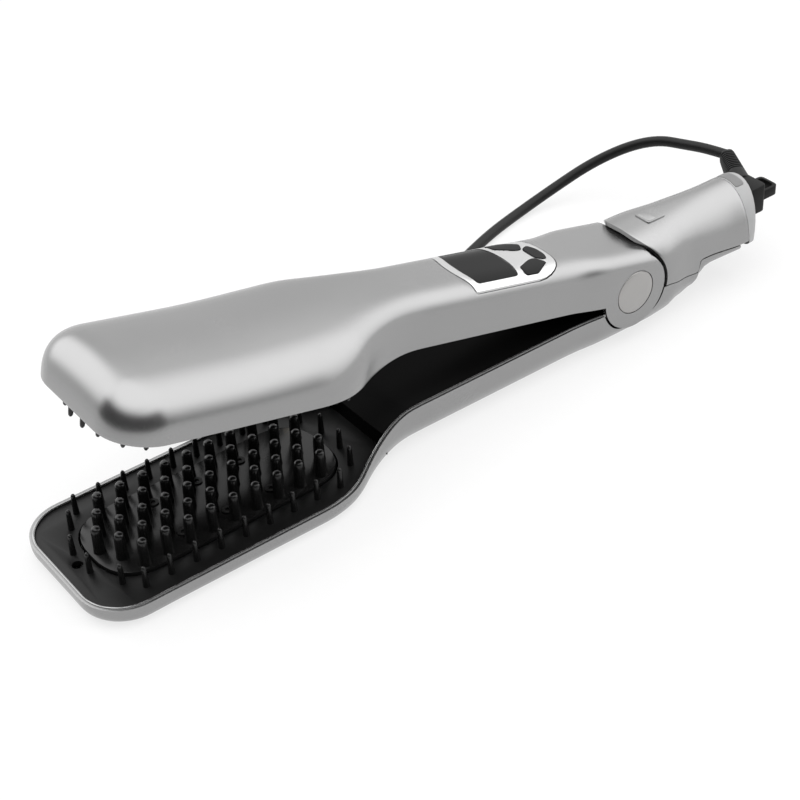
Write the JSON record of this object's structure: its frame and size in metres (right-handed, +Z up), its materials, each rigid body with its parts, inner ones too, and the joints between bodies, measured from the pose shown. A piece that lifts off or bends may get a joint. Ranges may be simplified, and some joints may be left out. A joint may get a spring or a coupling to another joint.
{
  "type": "steam hair straightener brush",
  "caption": "Hinged two-arm steam styling brush with heated bristled paddles, control panel, water tank tail and mains cord.",
  "frame": {"origin": "middle of the flat rest face under the lower paddle", "axes": "+X along the arms towards the hinge and the tail, +Z up from the surface the brush lies on, +Y to the far side"},
  "size_m": [0.3755, 0.1415, 0.101],
  "materials": {
    "silver_paint": "satin silver paint on moulded plastic",
    "black_plastic": "gloss",
    "matte_black": "matt",
    "cap_silver": "satin silver paint on moulded plastic",
    "window_glass": "gloss",
    "clear_tank": "satin",
    "smoke_plug": "satin",
    "plate_metal": "gloss coated",
    "steel": "bright",
    "board": "satin",
    "ceramic": "matt",
    "silicone": "satin",
    "cord_rubber": "matt",
    "brass": "bright"
  },
  "bodies": {
    "lower_arm": {"lower_casing": "silver_paint", "tail_cover": "silver_paint", "lower_inner_cover": "black_plastic", "handle_liner": "black_plastic", "lower_heater_plate": "plate_metal", "lower_heat_pegs": "black_plastic", "lower_edge_bristles": "black_plastic", "steam_vents": "steel", "tip_screw": "steel", "lower_heater_element": "ceramic", "steam_duct": "ceramic", "steam_generator": "steel", "steam_tube": "silicone", "driver_board": "board", "hinge_block": "matte_black", "hinge_pin": "steel", "torsion_spring": "steel", "water_tank": "clear_tank", "tail_end_cap": "clear_tank", "filler_plug": "smoke_plug", "micro_pump": "matte_black", "water_tube": "silicone", "suction_tube": "silicone", "cord_swivel": "matte_black", "cord_gland": "matte_black", "hanging_loop": "matte_black", "strain_relief": "cord_rubber", "cord": "cord_rubber", "cord_coil": "cord_rubber", "cord_tie": "matte_black", "plug_body": "cord_rubber", "plug_pins": "brass", "cord_end": "cord_rubber"},
    "upper_arm": {"upper_casing": "silver_paint", "upper_inner_cover": "black_plastic", "upper_heater_plate": "plate_metal", "upper_heat_pegs": "black_plastic", "upper_edge_bristles": "black_plastic", "upper_heater_element": "ceramic", "panel_bezel": "silver_paint", "display_window": "window_glass", "display_module": "matte_black", "key_board": "board", "tact_switches": "matte_black", "hinge_caps": "cap_silver", "upper_handle_liner": "black_plastic"},
    "far_button": {"far_button": "matte_black"},
    "near_button": {"near_button": "matte_black"},
    "rear_button": {"rear_button": "matte_black"},
    "lock_slider": {"lock_slider": "silver_paint"}
  },
  "joints": [
    {"name": "arm_swing", "type": "hinge", "parent": "lower_arm", "child": "upper_arm", "pos_m": [0.2152, 0, 0.0252], "axis": [0, 1, 0], "range_deg": [-13.6, 0], "stiffness_Nm_per_rad": 0.6, "springref_deg": 20.05},
    {"name": "far_button_press", "type": "slide", "parent": "upper_arm", "child": "far_button", "axis": [-0.2351, 0, -0.972], "range_m": [0, 0.0006], "stiffness_N_per_m": 2500},
    {"name": "near_button_press", "type": "slide", "parent": "upper_arm", "child": "near_button", "axis": [-0.2351, 0, -0.972], "range_m": [0, 0.0006], "stiffness_N_per_m": 2500},
    {"name": "rear_button_press", "type": "slide", "parent": "upper_arm", "child": "rear_button", "axis": [-0.2351, 0, -0.972], "range_m": [0, 0.0006], "stiffness_N_per_m": 2500},
    {"name": "lock_slide", "type": "slide", "parent": "lower_arm", "child": "lock_slider", "axis": [1, 0, 0], "range_m": [0, 0.0025]}
  ]
}
